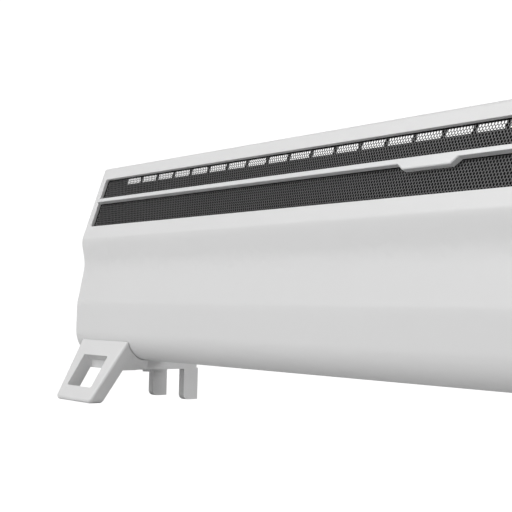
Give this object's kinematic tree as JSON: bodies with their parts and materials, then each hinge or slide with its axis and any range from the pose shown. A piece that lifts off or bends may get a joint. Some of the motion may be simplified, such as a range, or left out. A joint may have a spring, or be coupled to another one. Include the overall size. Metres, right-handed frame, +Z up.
{
  "type": "baseboard heater",
  "caption": "Low, long convector heater with a curved white steel front, an inclined dark mesh outlet with a light trim bar, and loop-shaped feet.",
  "frame": {"origin": "on the floor, at the centre of the heater's overall box", "axes": "+X along the heater to its control end, +Y to the back, +Z up"},
  "size_m": [1.024, 0.1432, 0.268],
  "materials": {
    "white_coat": "satin powder coat",
    "rear_coat": "satin powder coat",
    "white_plastic": "fine moulded texture",
    "trim_plastic": "satin",
    "grille_metal": "dark satin coat",
    "dark_metal": "matt black",
    "zinc_metal": "zinc plated",
    "element_metal": "mill finish",
    "screw_steel": "plated",
    "brass_contact": "bare",
    "ceramic": "unglazed",
    "dark_plastic": "fine texture",
    "control_plastic": "fine texture",
    "button_plastic": "satin",
    "display_glass": "smoked",
    "circuit_board": "solder mask",
    "wire_rubber": "silicone",
    "cord_rubber": "satin",
    "pad_rubber": "matt"
  },
  "bodies": {
    "casing": {"board_components": "dark_plastic", "bulkhead": "zinc_metal", "button_board": "circuit_board", "control_board": "circuit_board", "control_fascia": "control_plastic", "control_housing": "dark_plastic", "cord_gland": "dark_plastic", "cord_tie": "dark_plastic", "display_module": "dark_plastic", "display_window": "display_glass", "element_bracket_left": "zinc_metal", "element_bracket_right": "zinc_metal", "element_fins": "element_metal", "element_insulators": "ceramic", "element_terminals": "brass_contact", "element_tube": "element_metal", "end_cap_screws": "screw_steel", "foot_pads": "pad_rubber", "foot_screws": "screw_steel", "front_baffle": "dark_metal", "front_panel": "white_coat", "grille_retainers": "dark_metal", "heat_shield": "dark_metal", "inlet_guard": "dark_metal", "left_end_cap": "white_plastic", "left_foot": "white_plastic", "outlet_grille": "grille_metal", "plug_body": "cord_rubber", "plug_pins": "brass_contact", "power_cord": "cord_rubber", "rear_panel": "rear_coat", "rear_panel_screws": "screw_steel", "right_end_cap": "white_plastic", "right_foot": "white_plastic", "rocker_body": "dark_plastic", "room_sensor": "ceramic", "shield_standoffs": "zinc_metal", "tact_switches": "dark_plastic", "terminal_block": "ceramic", "thermal_cutout": "dark_plastic", "tip_over_case": "dark_plastic", "tip_over_pin": "screw_steel", "trim_bar": "trim_plastic", "trim_clips": "dark_plastic", "wire_harness": "wire_rubber"},
    "power_key": {"power_button": "button_plastic"},
    "mode_key": {"mode_button": "button_plastic"},
    "timer_key": {"timer_button": "button_plastic"},
    "minus_key": {"minus_button": "button_plastic"},
    "plus_key": {"plus_button": "button_plastic"},
    "mains_rocker": {"rocker": "dark_plastic"},
    "tip_pendulum": {"tip_over_pendulum": "zinc_metal"}
  },
  "joints": [
    {"name": "power_press", "type": "slide", "parent": "casing", "child": "power_key", "axis": [-1, 0, 0], "range_m": [0, 0.0008], "stiffness_N_per_m": 900, "springref_m": -0.001},
    {"name": "mode_press", "type": "slide", "parent": "casing", "child": "mode_key", "axis": [-1, 0, 0], "range_m": [0, 0.0008], "stiffness_N_per_m": 900, "springref_m": -0.001},
    {"name": "timer_press", "type": "slide", "parent": "casing", "child": "timer_key", "axis": [-1, 0, 0], "range_m": [0, 0.0008], "stiffness_N_per_m": 900, "springref_m": -0.001},
    {"name": "minus_press", "type": "slide", "parent": "casing", "child": "minus_key", "axis": [-1, 0, 0], "range_m": [0, 0.0008], "stiffness_N_per_m": 900, "springref_m": -0.001},
    {"name": "plus_press", "type": "slide", "parent": "casing", "child": "plus_key", "axis": [-1, 0, 0], "range_m": [0, 0.0008], "stiffness_N_per_m": 900, "springref_m": -0.001},
    {"name": "mains_rock", "type": "hinge", "parent": "casing", "child": "mains_rocker", "pos_m": [0.5065, 0.00125, 0.066], "axis": [0, 0, 1], "range_deg": [0, 14]},
    {"name": "tip_swing", "type": "hinge", "parent": "casing", "child": "tip_pendulum", "pos_m": [0.415, 0.00725, 0.08], "axis": [1, 0, 0], "range_deg": [-12, 12]}
  ]
}
